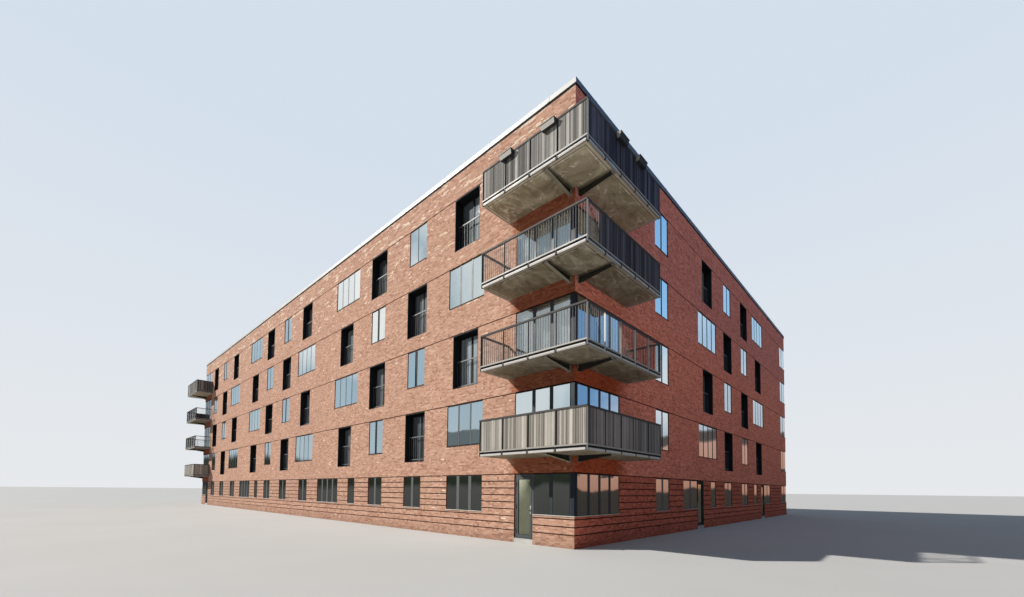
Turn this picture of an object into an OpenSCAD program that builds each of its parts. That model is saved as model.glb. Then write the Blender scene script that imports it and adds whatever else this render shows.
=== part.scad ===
// Five-storey brick apartment block with stacked corner balconies, a scale model at half size.
// X runs along the street front, Y from the street front to the back, Z up from the ground.
// The origin is the centre of the wall footprint, on the ground.

/* [Block] */
// Length of the street front between the outer wall faces
block_len = 25150; // [23000:50:32000]
// Depth of the block from the street front to the back
block_dep = 16250; // [15500:50:20000]
// Thickness of the outer walls, brick, insulation and inner leaf together
wall_t = 270; // [240:5:320]
// Height from one floor to the next
storey_h = 1500; // [1450:10:1700]
// Height of the ground floor above the ground, which is the ground slab's thickness
base_h = 80; // [60:5:120]
// Thickness of the storey floors and of the roof deck
floor_t = 150; // [120:5:200]
// Height of the parapet walls above the roof deck
parapet_h = 260; // [200:10:400]
// Thickness of the parapet's metal coping
coping_t = 90; // [50:5:110]
// Overhang of the coping past each wall face
coping_lip = 15; // [5:1:40]

/* [Brick courses] */
// Height of one recessed course
groove_h = 20; // [12:1:30]
// Depth of one recessed course
groove_d = 12; // [6:1:20]
// Recessed courses in the ground storey, from the floor to the window heads
groove_rows = 9; // [5:1:12]

/* [Openings] */
// Height of all window and door heads above their floor
head_h = 1150; // [1100:10:1250]
// Height of the upper window sills above their floor
sill_h = 275; // [200:5:400]
// Height of the ground storey sills above the floor
ground_sill_h = 440; // [380:5:600]
// First window axis of the street front, from the corner
first_axis = 2750; // [2600:10:3000]
// First window axis of the side, from the corner
side_axis = 3400; // [3150:10:3500]
// Step between window axes within one flat
axis_step = 1775; // [1700:5:1900]
// Step between the last axis of one flat and the first of the next
flat_gap = 2950; // [2700:10:3100]
// Axis between the two mirrored ground storey flats of the side
side_mid = 8940; // [8700:10:9100]
// Distance from that axis to the hinge side of the side's terrace doors
side_door_in = 3000; // [2960:10:3150]
// Distance from that axis to the narrow ground storey windows
narrow_in = 2225; // [2100:5:2300]
// Least brick between a window and the corner glazing
least_pier = 180; // [120:5:220]
// Width of a window with one pane
one_w = 400; // [350:5:450]
// Width of a window with two panes
two_w = 690; // [600:5:740]
// Width of a window with three panes
three_w = 1115; // [1000:5:1180]
// Width of a window with four panes
four_w = 1425; // [1300:5:1500]
// Width of a French door opening
french_w = 790; // [720:5:860]
// Width of the window beside a terrace door
terrace_win_w = 925; // [800:5:960]

/* [Corner glazing] */
// Width of the glazing on the street side of a balcony corner
corner_front_w = 1325; // [1280:5:1400]
// Width of the glazing on the other side of a balcony corner
corner_side_w = 1475; // [1400:5:1550]
// Width of the windows that wrap a corner without balconies
corner_back_w = 925; // [800:5:1000]
// Width of a terrace door with its frame
door_w = 445; // [430:5:500]
// Side of the square post at a glazed corner
post_w = 75; // [60:1:90]
// Width of a bar between the panes of a glazed corner
corner_bar_w = 56; // [45:1:70]

/* [Frames and glass] */
// Depth of the window frames behind the brick face
recess = 20; // [15:1:40]
// Depth of a frame from front to back
frame_d = 40; // [36:1:60]
// Width of a window frame's member
frame_w = 22; // [18:1:30]
// Width of a bar between panes
mullion_w = 38; // [32:1:50]
// Thickness of the glass
glass_t = 12; // [8:1:16]
// Thickness of the metal lining of a French door opening
lining_t = 12; // [8:1:16]
// Depth of the French doors behind the brick face
french_recess = 200; // [150:5:206]
// Height of the metal and stone sills
sill_t = 10; // [6:1:20]
// Overhang of the sills past the brick face
sill_lip = 15; // [8:1:30]

/* [French railing] */
// Height of the railing above the floor
french_rail_h = 620; // [550:5:650]
// Depth of the railing behind the brick face
french_rail_in = 120; // [80:5:140]
// Bars in one railing
french_bars = 8; // [5:1:12]
// Height of the railing's lower rail above the floor
french_low = 60; // [40:5:100]

/* [Terrace doors] */
// Width of a door frame's member
door_frame_w = 35; // [28:1:45]
// Thickness of a door leaf
leaf_t = 36; // [30:1:40]
// Width of the members of a door leaf
stile_w = 45; // [35:1:55]
// Height of the frame's threshold bar
sill_bar_h = 20; // [15:1:30]
// Clearance of the leaf at its hinges, top and bottom
leaf_gap = 5; // [5:0.5:7]
// Clearance of the leaf at its free edge, for the corner that swings past the frame
swing_gap = 8; // [8:0.5:12]
// Radius of a hinge knuckle
knuckle_r = 6; // [5:0.5:7]
// Length of a hinge knuckle
knuckle_h = 35; // [25:1:50]
// Running gap between the two knuckles of a hinge
knuckle_gap = 0.3; // [0.2:0.1:0.5]
// Stand-off of a hinge axis in front of the frame
hinge_out = 8; // [7:0.5:9]
// Length of a hinge flap from the axis
flap_len = 25; // [15:1:30]
// Height of the door handle above the floor
handle_h = 520; // [480:10:600]
// Length of the door handle's lever
lever_len = 60; // [50:1:80]
// Thickness of the lever and its spindle
lever_t = 12; // [8:1:14]
// Reach of the spindle in front of the leaf
lever_out = 28; // [20:1:32]

/* [Balconies] */
// Length of a balcony slab along the street front, from the corner
bal_front_len = 1495; // [1440:5:1560]
// Length of a balcony slab along the side, from the corner
bal_side_len = 1725; // [1660:5:1800]
// Reach of a balcony slab in front of the street front
bal_front_out = 670; // [600:5:900]
// Reach of a balcony slab beside the side wall
bal_side_out = 655; // [600:5:850]
// Thickness of a balcony slab
bal_t = 38; // [34:1:60]
// Drop of the slab's top below the storey floor
bal_drop = 20; // [10:1:30]
// Depth of a bracket at the wall
bracket_deep = 100; // [70:5:140]
// Depth of a bracket at its tip
bracket_tip = 18; // [15:1:40]
// Thickness of a bracket's web and flange
bracket_t = 12; // [8:1:16]
// Width of a bracket's flange
bracket_w = 60; // [40:2:90]
// Distance of the brackets from the corner
bracket_in = 110; // [80:5:200]
// Distance from a bracket's tip to the slab edge
bracket_stop = 30; // [10:5:100]

/* [Balcony railings] */
// Height of the top rail above the storey floor
rail_h = 582; // [540:1:640]
// Height of the top rail itself
top_rail_h = 25; // [18:1:30]
// Height of the bottom rail above the storey floor
low_rail = 14; // [8:1:40]
// Height of the bottom rail itself
low_rail_h = 23; // [18:1:30]
// Depth of the top rail and of the posts, outwards from the slab edge
rail_deep = 30; // [24:1:40]
// Thickness of a post, which is a flat bar set square to the rail
post_t = 8; // [6:1:12]
// Width of a railing bar
bar_w = 6; // [5:1:10]
// Step between railing bars
bar_step = 50; // [40:1:60]
// Thickness of the privacy screens
screen_t = 6; // [4:1:8]
// Joint between neighbouring railing runs, and round a privacy screen
panel_gap = 1; // [1:0.5:3]

/* [Planter boxes] */
// Length of a planter box
planter_len = 280; // [240:10:400]
// Depth of a planter box at its rim
planter_w = 85; // [70:5:110]
// Depth of a planter box at its foot
planter_foot = 55; // [45:5:70]
// Height of a planter box
planter_h = 90; // [70:5:120]
// Drop of a planter box's rim below the top of the rail
planter_drop = 5; // [0:1:15]
// Thickness of a planter box's walls
planter_wall = 8; // [5:1:12]
// Depth of the soil below a planter box's rim
soil_drop = 15; // [8:1:25]

/* [Hidden] */
storeys = 5;
// Overshoot of a cut past the face that it leaves through
over = 1;
half_len = block_len / 2;
half_dep = block_dep / 2;
roof_z = base_h + storeys * storey_h;
wall_top = roof_z + parapet_h;
lintel_z = base_h + head_h;
glass_in = recess + frame_d;
post_end = recess + post_w;
min_run = four_w / 2 + least_pier;
flat_pitch = 3 * axis_step + flat_gap;
balcony_storeys = [2:storeys];
// Storeys with privacy screens all round the balcony, and the one with them on its side arm only
clad_storeys = [2, 5];
side_clad_storey = 4;
french_frame_d = 40;
// Windows of one ground storey flat: [distance from the flat's first axis, panes]
ground_front = [[0, 2], [1850, 2], [3550, 2], [4850, 1], [6400, 4]];
// Middles of the planter boxes along the front rail and the side rail, from the corner
planter_front = [-900, 0];
planter_side = [285, 940];
// Places of a door's hinges as shares of the leaf's height
hinge_shares = [0.1, 0.5, 0.88];
round_fn = 32;
FACES = ["front", "right", "back", "left"];

// Heights and lengths
function floor_z(k) = base_h + (k - 1) * storey_h;
function head_z(k) = floor_z(k) + head_h;
function is_street(f) = f == "front" || f == "back";
function face_len(f) = is_street(f) ? block_len : block_dep;
function face_in(f) = is_street(f) ? 0 : wall_t;

// End 0 of a face is its near corner and end 1 its far corner
function has_balcony(f, end) = end == 0 ? f != "back" : f == "front";
function corner_w(f, end) = !has_balcony(f, end) ? corner_back_w : is_street(f) ? corner_front_w : corner_side_w;
function corner_low(f, end, k) = k == 1 ? floor_z(1) + ground_sill_h
    : has_balcony(f, end) ? floor_z(k) : floor_z(k) + sill_h;

// A window unit is [distance of its axis from the near corner, panes, storey], and 0 panes mean a French door
function unit_w(panes) = [french_w, one_w, two_w, three_w, four_w][panes];
function unit_low(u) = u[2] == 1 ? floor_z(1) + ground_sill_h
    : u[1] == 0 ? floor_z(u[2]) : floor_z(u[2]) + sill_h;
function flat_panes(k, i) = k % 2 == 1 ? [0, 2, 0, 4][i] : [4, 0, 2, 0][i];
function fits(f, s) = s + min_run <= face_len(f) - corner_w(f, 1);
function front_axis(i) = first_axis + i * axis_step + floor(i / 4) * (flat_gap - axis_step);
function side_flat_axis(i) = side_axis + flat_gap + i * axis_step + floor(i / 4) * (flat_gap - axis_step);
axis_count = floor(block_len / axis_step);

function front_upper(f) = [for (k = balcony_storeys, i = [0:axis_count]) if (fits(f, front_axis(i)))
    [front_axis(i), i == 0 && k % 2 == 0 ? 3 : flat_panes(k, i % 4), k]];
function front_ground(f) = [for (g = [0:floor(block_len / flat_pitch)], u = ground_front)
    let (s = first_axis + g * flat_pitch + u[0])
    if (fits(f, s)) [s, g == 0 && u[0] == 0 ? 3 : u[1], 1]];
function side_upper(f) = concat([for (k = balcony_storeys) [side_axis, 2, k]],
    [for (k = balcony_storeys, i = [0:axis_count]) if (fits(f, side_flat_axis(i)))
        [side_flat_axis(i), flat_panes(k, i % 4), k]]);
function side_ground() = [[side_axis, 2, 1], [side_mid - narrow_in, 1, 1], [side_mid - axis_step / 2, 2, 1],
    [side_mid + axis_step / 2, 2, 1], [side_mid + narrow_in, 1, 1]];
function upper_units(f) = is_street(f) ? front_upper(f) : side_upper(f);
function ground_units(f) = is_street(f) ? front_ground(f) : side_ground();

// Terrace doors: [hinge side edge, free side edge] of the door frame along the face
function corner_doors(f) = !is_street(f) || !has_balcony(f, 0) ? [] :
    [[corner_w(f, 0), corner_w(f, 0) - door_w],
        [block_len - corner_w(f, 1), block_len - corner_w(f, 1) + door_w]];
function side_doors(f) = is_street(f) ? [] :
    [[side_mid - side_door_in, side_mid - side_door_in - door_w],
        [side_mid + side_door_in, side_mid + side_door_in + door_w]];
function doors(f) = concat(corner_doors(f), side_doors(f));
function door_opens(f, i) = f == "right" || (f == "front" && i == 0);

// Places children, drawn with s along +X and depth along +Y, on an outer wall face
module on_face(f) {
    if (f == "front") translate([half_len, -half_dep, 0]) mirror([1, 0, 0]) children();
    if (f == "right") translate([half_len, -half_dep, 0]) rotate([0, 0, 90]) children();
    if (f == "back") translate([half_len, half_dep, 0]) rotate([0, 0, 180]) children();
    if (f == "left") translate([-half_len, -half_dep, 0]) mirror([1, 0, 0]) rotate([0, 0, 90]) children();
}

// Turns what is drawn at a face's near corner to its far corner
module at_end(f, end) {
    if (end == 0) children();
    else translate([face_len(f), 0, 0]) mirror([1, 0, 0]) children();
}

// Box between two corners, whichever way the s values run
module span(s0, s1, t0, t1, z0, z1) {
    translate([min(s0, s1), t0, z0]) cube([abs(s1 - s0), t1 - t0, z1 - z0]);
}

// Floors and roof
module inner_slab(top, thick) {
    translate([-half_len + wall_t, -half_dep + wall_t, top - thick])
        cube([block_len - 2 * wall_t, block_dep - 2 * wall_t, thick]);
}
module ground_slab() color([0.62, 0.61, 0.58]) inner_slab(base_h, base_h);
module floor_slab(k) color([0.66, 0.65, 0.62]) inner_slab(floor_z(k), floor_t);
module roof_deck() color([0.25, 0.25, 0.26]) inner_slab(roof_z, floor_t);

module coping() color([0.92, 0.92, 0.90])
    for (f = FACES) on_face(f)
        let (s = is_street(f) ? -coping_lip : wall_t + coping_lip + over)
            span(s, face_len(f) - s, -coping_lip, wall_t + coping_lip, wall_top, wall_top + coping_t);

// Brick walls
module corner_cut(f, end, k)
    at_end(f, end) span(-over, corner_w(f, end), -over, wall_t + over, corner_low(f, end, k), head_z(k));
module unit_cut(u) {
    span(u[0] - unit_w(u[1]) / 2, u[0] + unit_w(u[1]) / 2, -over, wall_t + over, unit_low(u), head_z(u[2]));
}
module door_cut(d) span(d[0], d[1], -over, wall_t + over, -over, lintel_z + over);
module terrace_window_cut(d) {
    let (away = sign(d[1] - d[0]))
        span(d[1], d[1] + away * terrace_win_w, -over, wall_t + over, floor_z(1) + ground_sill_h,
            lintel_z + over);
}
module groove(f, z) {
    span(-over, face_len(f) + over, -over, groove_d, z, z + groove_h);
    if (is_street(f)) for (end = [0, 1]) at_end(f, end)
        span(-over, groove_d, -over, wall_t + over, z, z + groove_h);
}

module wall_base(f) color([0.72, 0.40, 0.31]) on_face(f)
    difference() {
        span(face_in(f), face_len(f) - face_in(f), 0, wall_t, 0, lintel_z);
        for (u = ground_units(f)) unit_cut(u);
        for (end = [0, 1]) corner_cut(f, end, 1);
        for (d = doors(f)) door_cut(d);
        for (d = side_doors(f)) terrace_window_cut(d);
        for (i = [1:groove_rows - 1]) groove(f, base_h + i * head_h / groove_rows);
    }
module wall_upper(f) color([0.76, 0.43, 0.34]) on_face(f)
    difference() {
        span(face_in(f), face_len(f) - face_in(f), 0, wall_t, lintel_z, wall_top);
        for (u = upper_units(f)) unit_cut(u);
        for (k = balcony_storeys, end = [0, 1]) corner_cut(f, end, k);
        for (k = [1:storeys]) groove(f, head_z(k));
    }

// Window frames: a panel with its panes cut out
function pane_spans(s0, s1, bars, bar) =
    let (edges = concat([s0 + frame_w - bar / 2], bars, [s1 - frame_w + bar / 2]))
    [for (i = [0:len(edges) - 2]) [edges[i] + bar / 2, edges[i + 1] - bar / 2]];
function even_bars(s0, s1, panes) = [for (i = [1:1:panes - 1]) s0 + (s1 - s0) * i / panes];
module frame_panel(s0, s1, z0, z1, bars, bar = mullion_w, front = recess, deep = frame_d) {
    difference() {
        span(s0, s1, front, front + deep, z0, z1);
        for (p = pane_spans(s0, s1, bars, bar))
            span(p[0], p[1], front - over, front + deep + over, z0 + frame_w, z1 - frame_w);
    }
}
module unit_frame(u) {
    let (half = unit_w(u[1]) / 2, low = unit_low(u), high = head_z(u[2]))
        if (u[1] == 0)
            frame_panel(u[0] - half + lining_t, u[0] + half - lining_t, low + lining_t, high - lining_t,
                [u[0]], front = french_recess, deep = french_frame_d);
        else frame_panel(u[0] - half, u[0] + half, low, high, even_bars(u[0] - half, u[0] + half, u[1]));
}
module unit_glass(u) {
    let (half = unit_w(u[1]) / 2 - (u[1] == 0 ? lining_t : 0), lap = u[1] == 0 ? lining_t : 0,
        t = u[1] == 0 ? french_recess + french_frame_d : glass_in)
        span(u[0] - half, u[0] + half, t, t + glass_t, unit_low(u) + lap, head_z(u[2]) - lap);
}

// Terrace door frame, with the fixed knuckles where the door opens
function leaf_side(d) = sign(d[1] - d[0]);
function hinge_s(d) = d[0] + leaf_side(d) * (door_frame_w + leaf_gap / 2);
function leaf_low() = floor_z(1) + sill_bar_h + leaf_gap;
function leaf_high() = lintel_z - door_frame_w - leaf_gap;
function hinge_zs() = [for (q = hinge_shares) leaf_low() + q * (leaf_high() - leaf_low())];
module knuckle(d, z, way) {
    let (s = hinge_s(d)) {
        translate([s, recess - hinge_out, z]) cylinder(r = knuckle_r, h = knuckle_h, $fn = round_fn);
        span(s, s + way * flap_len, recess - hinge_out + knuckle_r / 2, recess, z, z + knuckle_h);
    }
}
module door_frame(d, opens) {
    difference() {
        span(d[0], d[1], recess, glass_in, floor_z(1), lintel_z);
        span(d[0] + leaf_side(d) * door_frame_w, d[1] - leaf_side(d) * door_frame_w, recess - over,
            glass_in + over, floor_z(1) + sill_bar_h, lintel_z - door_frame_w);
    }
    if (opens) for (z = hinge_zs()) knuckle(d, z - knuckle_h - knuckle_gap, -leaf_side(d));
}

// Corner glazing, drawn at the near corner; the faces on the street axis carry the corner post
function corner_bars(f, end, w) = !has_balcony(f, end) ? even_bars(post_end, w, 2)
    : is_street(f) ? [(post_end + w - door_w) / 2, w - door_w] : even_bars(post_end, w, 4);
function is_door_corner(f, end, k) = k == 1 && has_balcony(f, end) && is_street(f);
module corner_frame(f, end, k) {
    let (w = corner_w(f, end), door = is_door_corner(f, end, k), s1 = door ? w - door_w : w,
        bars = corner_bars(f, end, w), low = corner_low(f, end, k), high = head_z(k)) {
        frame_panel(post_end, s1, low, high, door ? [bars[0]] : bars, corner_bar_w);
        if (is_street(f)) span(recess, post_end, recess, post_end, low, high);
    }
}
module corner_glass(f, end, k) {
    let (w = corner_w(f, end), s1 = is_door_corner(f, end, k) ? w - door_w : w)
        span(post_end, s1, glass_in, glass_in + glass_t, corner_low(f, end, k), head_z(k));
}

module frames(f) color([0.16, 0.17, 0.18]) on_face(f) {
    for (u = concat(ground_units(f), upper_units(f))) unit_frame(u);
    for (k = [1:storeys], end = [0, 1]) at_end(f, end) corner_frame(f, end, k);
    for (i = [0:1:len(doors(f)) - 1]) door_frame(doors(f)[i], door_opens(f, i));
    for (d = side_doors(f))
        let (s1 = d[1] + leaf_side(d) * terrace_win_w)
            frame_panel(min(d[1], s1), max(d[1], s1), floor_z(1) + ground_sill_h, lintel_z,
                even_bars(min(d[1], s1), max(d[1], s1), 2));
}
module glass(f) color([0.60, 0.74, 0.86, 0.6]) on_face(f) {
    for (u = concat(ground_units(f), upper_units(f))) unit_glass(u);
    for (k = [1:storeys], end = [0, 1]) at_end(f, end) corner_glass(f, end, k);
    for (d = side_doors(f))
        span(d[1], d[1] + leaf_side(d) * terrace_win_w, glass_in, glass_in + glass_t,
            floor_z(1) + ground_sill_h, lintel_z);
    for (i = [0:1:len(doors(f)) - 1]) if (!door_opens(f, i))
        let (d = doors(f)[i])
            span(d[0] + leaf_side(d) * door_frame_w, d[1] - leaf_side(d) * door_frame_w, recess + frame_d / 2,
                recess + frame_d / 2 + glass_t, floor_z(1) + sill_bar_h, lintel_z - door_frame_w);
}

// French door openings: metal lining and railing
module french_linings() color([0.07, 0.07, 0.08])
    for (f = FACES) on_face(f) for (u = upper_units(f)) if (u[1] == 0)
        let (half = french_w / 2, low = floor_z(u[2]), high = head_z(u[2]))
            difference() {
                span(u[0] - half, u[0] + half, 0, wall_t, low, high);
                span(u[0] - half + lining_t, u[0] + half - lining_t, -over, wall_t + over, low + lining_t,
                    high - lining_t);
            }
module french_rails() color([0.50, 0.52, 0.54])
    for (f = FACES) on_face(f) for (u = upper_units(f)) if (u[1] == 0)
        let (inner = french_w - 2 * lining_t, step = inner / (french_bars + 1))
            translate([u[0] - inner / 2, french_rail_in, floor_z(u[2])]) {
                grille(inner, french_low, french_rail_h, bar_w, step, bar_w);
                translate([0, -bar_w, french_rail_h - top_rail_h]) cube([inner, 3 * bar_w, top_rail_h]);
            }

// Flat grille in the plane of X and Z, with rails along its top and bottom and bars between them
module grille(length, low, high, bar, step, deep) {
    bays = max(1, round(length / step));
    pitch = length / bays;
    translate([0, deep, 0]) rotate([90, 0, 0]) linear_extrude(deep) difference() {
        translate([0, low]) square([length, high - low]);
        for (i = [0:bays - 1])
            translate([i * pitch + bar / 2, low + low_rail_h])
                square([pitch - bar, high - low - low_rail_h - top_rail_h]);
    }
}

// Window sills
module sill(s0, s1, z) span(s0, s1, -sill_lip, recess, z, z + sill_t);
module stone_sills() color([0.80, 0.78, 0.73])
    for (f = FACES) on_face(f) {
        for (u = ground_units(f)) sill(u[0] - unit_w(u[1]) / 2, u[0] + unit_w(u[1]) / 2, unit_low(u));
        for (d = side_doors(f)) sill(d[1], d[1] + leaf_side(d) * terrace_win_w, floor_z(1) + ground_sill_h);
        for (end = [0, 1]) at_end(f, end)
            let (w = corner_w(f, end), s1 = is_door_corner(f, end, 1) ? w - door_w : w)
                sill(is_street(f) ? -sill_lip : recess + over, s1, corner_low(f, end, 1));
    }
module metal_sills() color([0.20, 0.21, 0.22])
    for (f = FACES) on_face(f) {
        for (u = upper_units(f)) if (u[1] > 0)
            sill(u[0] - unit_w(u[1]) / 2, u[0] + unit_w(u[1]) / 2, unit_low(u));
        for (k = balcony_storeys, end = [0, 1]) if (!has_balcony(f, end)) at_end(f, end)
            sill(is_street(f) ? -sill_lip : recess + over, corner_w(f, end), corner_low(f, end, k));
    }

// Terrace doors
module door_thresholds() color([0.60, 0.59, 0.56])
    for (f = FACES) on_face(f) for (d = doors(f)) span(d[0], d[1], 0, wall_t, 0, base_h);

module door_leaf(d) {
    let (free = d[1] - leaf_side(d) * (door_frame_w + swing_gap),
        s0 = d[0] + leaf_side(d) * (door_frame_w + leaf_gap),
        handle_s = free - leaf_side(d) * stile_w / 2, handle_z = floor_z(1) + handle_h) {
        difference() {
            span(s0, free, recess, recess + leaf_t, leaf_low(), leaf_high());
            span(s0 + leaf_side(d) * stile_w, free - leaf_side(d) * stile_w, recess - over,
                recess + leaf_t + over, leaf_low() + stile_w, leaf_high() - stile_w);
        }
        for (z = hinge_zs()) knuckle(d, z, leaf_side(d));
        translate([handle_s, recess, handle_z]) rotate([90, 0, 0])
            cylinder(r = lever_t / 2, h = lever_out - lever_t / 2, $fn = round_fn);
        span(handle_s + leaf_side(d) * lever_t / 2, handle_s - leaf_side(d) * lever_len, recess - lever_out,
            recess - lever_out + lever_t, handle_z - lever_t / 2, handle_z + lever_t / 2);
    }
}
module leaf_glass(d) {
    let (free = d[1] - leaf_side(d) * (door_frame_w + swing_gap + stile_w),
        s0 = d[0] + leaf_side(d) * (door_frame_w + leaf_gap + stile_w))
        span(s0, free, recess + (leaf_t - glass_t) / 2, recess + (leaf_t + glass_t) / 2,
            leaf_low() + stile_w, leaf_high() - stile_w);
}
module corner_door() color([0.16, 0.17, 0.18]) on_face("front") door_leaf(corner_doors("front")[0]);
module corner_door_glass() color([0.60, 0.74, 0.86, 0.6]) on_face("front") leaf_glass(corner_doors("front")[0]);
module side_door(i) color([0.16, 0.17, 0.18]) on_face("right") door_leaf(side_doors("right")[i]);
module side_door_glass(i) color([0.60, 0.74, 0.86, 0.6]) on_face("right") leaf_glass(side_doors("right")[i]);

// Balconies, drawn at the corner of the street front and the right side, and mirrored to the left
module at_stack(left) {
    if (left) mirror([1, 0, 0]) translate([half_len, -half_dep, 0]) children();
    else translate([half_len, -half_dep, 0]) children();
}
module balcony_slabs() color([0.55, 0.54, 0.49])
    for (k = balcony_storeys) translate([0, 0, floor_z(k) - bal_drop - bal_t]) linear_extrude(bal_t)
        polygon([[0, 0], [-bal_front_len, 0], [-bal_front_len, -bal_front_out], [bal_side_out, -bal_front_out],
            [bal_side_out, bal_side_len], [0, bal_side_len]]);

// Tapered bracket that reaches along +X from the wall, its top at z = 0
module bracket(reach) {
    rotate([90, 0, 0]) translate([0, 0, -bracket_t / 2]) linear_extrude(bracket_t)
        polygon([[0, 0], [reach, 0], [reach, -bracket_tip], [0, -bracket_deep]]);
    rotate([90, 0, 0]) translate([0, 0, -bracket_w / 2]) linear_extrude(bracket_w)
        polygon([[0, bracket_t - bracket_deep], [reach, bracket_t - bracket_tip], [reach, -bracket_tip],
            [0, -bracket_deep]]);
}
module balcony_brackets() color([0.45, 0.45, 0.43])
    for (k = balcony_storeys) translate([0, 0, floor_z(k) - bal_drop - bal_t]) {
        translate([-bracket_in, 0, 0]) rotate([0, 0, -90]) bracket(bal_front_out - bracket_stop);
        translate([0, bracket_in, 0]) bracket(bal_side_out - bracket_stop);
    }

// The four railing runs of a balcony: [start of the outer face, turn, length, bays]
rail_runs = [
    [[-bal_front_len - rail_deep, -bal_front_out - rail_deep], 0,
        bal_front_len + bal_side_out + 2 * rail_deep, 4],
    [[bal_side_out + rail_deep, -bal_front_out + panel_gap], 90,
        bal_front_out + bal_side_len + rail_deep - panel_gap, 5],
    [[-bal_front_len - rail_deep, 0], -90, bal_front_out - panel_gap, 1],
    [[bal_side_out - panel_gap, bal_side_len + rail_deep], 180, bal_side_out - panel_gap, 1]];
function bay_pitch(run) = (run[2] - post_t) / run[3];
module on_run(run, z) translate([run[0][0], run[0][1], z]) rotate([0, 0, run[1]]) children();

// Railing run along +X: grille, top rail, and posts down over the slab edge
module rail_run(run) {
    translate([0, (rail_deep - bar_w) / 2, 0]) grille(run[2], low_rail, rail_h, bar_w, bar_step, bar_w);
    translate([0, 0, rail_h - top_rail_h]) cube([run[2], rail_deep, top_rail_h]);
    for (i = [0:run[3]]) translate([i * bay_pitch(run), 0, -bal_drop - bal_t])
        cube([post_t, rail_deep, rail_h + bal_drop + bal_t]);
}
module balcony_railings() color([0.52, 0.54, 0.56])
    for (k = balcony_storeys, run = rail_runs) on_run(run, floor_z(k)) rail_run(run);

// Privacy screens of a run, one to a bay behind the bars, from a distance along the run
module screen_run(run, from = 0) {
    low = low_rail + low_rail_h + panel_gap;
    for (i = [0:run[3] - 1])
        let (s0 = max(from, i * bay_pitch(run) + post_t + panel_gap), s1 = (i + 1) * bay_pitch(run) - panel_gap)
            translate([s0, (rail_deep + bar_w) / 2, low])
                cube([s1 - s0, screen_t, rail_h - top_rail_h - panel_gap - low]);
}
module balcony_screens() color([0.42, 0.41, 0.39]) {
    for (k = clad_storeys, run = rail_runs) on_run(run, floor_z(k)) screen_run(run);
    on_run(rail_runs[1], floor_z(side_clad_storey)) screen_run(rail_runs[1], bal_front_out / 2);
}

// Planter boxes hung outside the top balcony's rail, along +X with the rail at y = 0
module planter() {
    difference() {
        rotate([90, 0, 90]) linear_extrude(planter_len)
            polygon([[0, 0], [-planter_foot, 0], [-planter_w, planter_h], [0, planter_h]]);
        translate([planter_wall, 2 * planter_wall - planter_w, planter_h - soil_drop])
            cube([planter_len - 2 * planter_wall, planter_w - 3 * planter_wall, soil_drop + over]);
    }
}
module planter_boxes() color([0.45, 0.44, 0.42])
    at_stack(false) translate([0, 0, floor_z(storeys) + rail_h - planter_drop - planter_h]) {
        for (x = planter_front) translate([x - planter_len / 2, -bal_front_out - rail_deep, 0]) planter();
        for (y = planter_side) translate([bal_side_out + rail_deep, y - planter_len / 2, 0])
            rotate([0, 0, 90]) planter();
    }

ground_slab();
floor_slab(2);  // floor_slab_2
floor_slab(3);  // floor_slab_3
floor_slab(4);  // floor_slab_4
floor_slab(5);  // floor_slab_5
roof_deck();
coping();
wall_base("front");  // front_wall_base
wall_upper("front");  // front_wall_upper
wall_base("right");  // right_wall_base
wall_upper("right");  // right_wall_upper
wall_base("back");  // back_wall_base
wall_upper("back");  // back_wall_upper
wall_base("left");  // left_wall_base
wall_upper("left");  // left_wall_upper
frames("front");  // front_frames
frames("right");  // right_frames
frames("back");  // back_frames
frames("left");  // left_frames
glass("front");  // front_glass
glass("right");  // right_glass
glass("back");  // back_glass
glass("left");  // left_glass
french_linings();
french_rails();
stone_sills();
metal_sills();
door_thresholds();
corner_door();
corner_door_glass();
side_door(0);  // side_door_a
side_door_glass(0);  // side_door_a_glass
side_door(1);  // side_door_b
side_door_glass(1);  // side_door_b_glass
at_stack(false) balcony_slabs();  // balcony_slabs_right
at_stack(true) balcony_slabs();  // balcony_slabs_left
at_stack(false) balcony_brackets();  // balcony_brackets_right
at_stack(true) balcony_brackets();  // balcony_brackets_left
at_stack(false) balcony_railings();  // balcony_railings_right
at_stack(true) balcony_railings();  // balcony_railings_left
at_stack(false) balcony_screens();  // balcony_screens_right
at_stack(true) balcony_screens();  // balcony_screens_left
planter_boxes();
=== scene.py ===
"""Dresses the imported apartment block: brickwork, glazing, balconies, roof, floor, light and camera."""
import math
import random

import bmesh
import bpy
from mathutils import Matrix, Vector


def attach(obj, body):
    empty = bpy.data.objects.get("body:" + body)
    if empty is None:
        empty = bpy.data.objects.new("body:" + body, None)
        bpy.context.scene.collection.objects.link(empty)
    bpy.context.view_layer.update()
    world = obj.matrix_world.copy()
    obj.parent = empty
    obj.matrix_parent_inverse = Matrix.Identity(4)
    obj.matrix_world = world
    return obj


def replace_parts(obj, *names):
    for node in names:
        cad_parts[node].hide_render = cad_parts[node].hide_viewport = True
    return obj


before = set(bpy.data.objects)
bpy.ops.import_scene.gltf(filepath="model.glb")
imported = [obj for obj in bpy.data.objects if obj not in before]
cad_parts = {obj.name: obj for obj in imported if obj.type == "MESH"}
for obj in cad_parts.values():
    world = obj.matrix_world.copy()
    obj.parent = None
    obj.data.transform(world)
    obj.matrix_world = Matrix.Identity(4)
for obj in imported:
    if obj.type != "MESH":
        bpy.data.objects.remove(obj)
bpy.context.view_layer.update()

# Sizes in metres, as in the part's source
HALF_LEN, HALF_DEP = 12.575, 8.125
WALL, BASE, STOREY, HEAD = 0.27, 0.08, 1.5, 1.15
ROOF_Z, WALL_TOP, COPING_T = 7.58, 7.84, 0.09
FRAME_W, BAR_W, CORNER_BAR_W, FRAME_T, GLASS_T = 0.022, 0.038, 0.056, 0.02, 0.06
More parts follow.
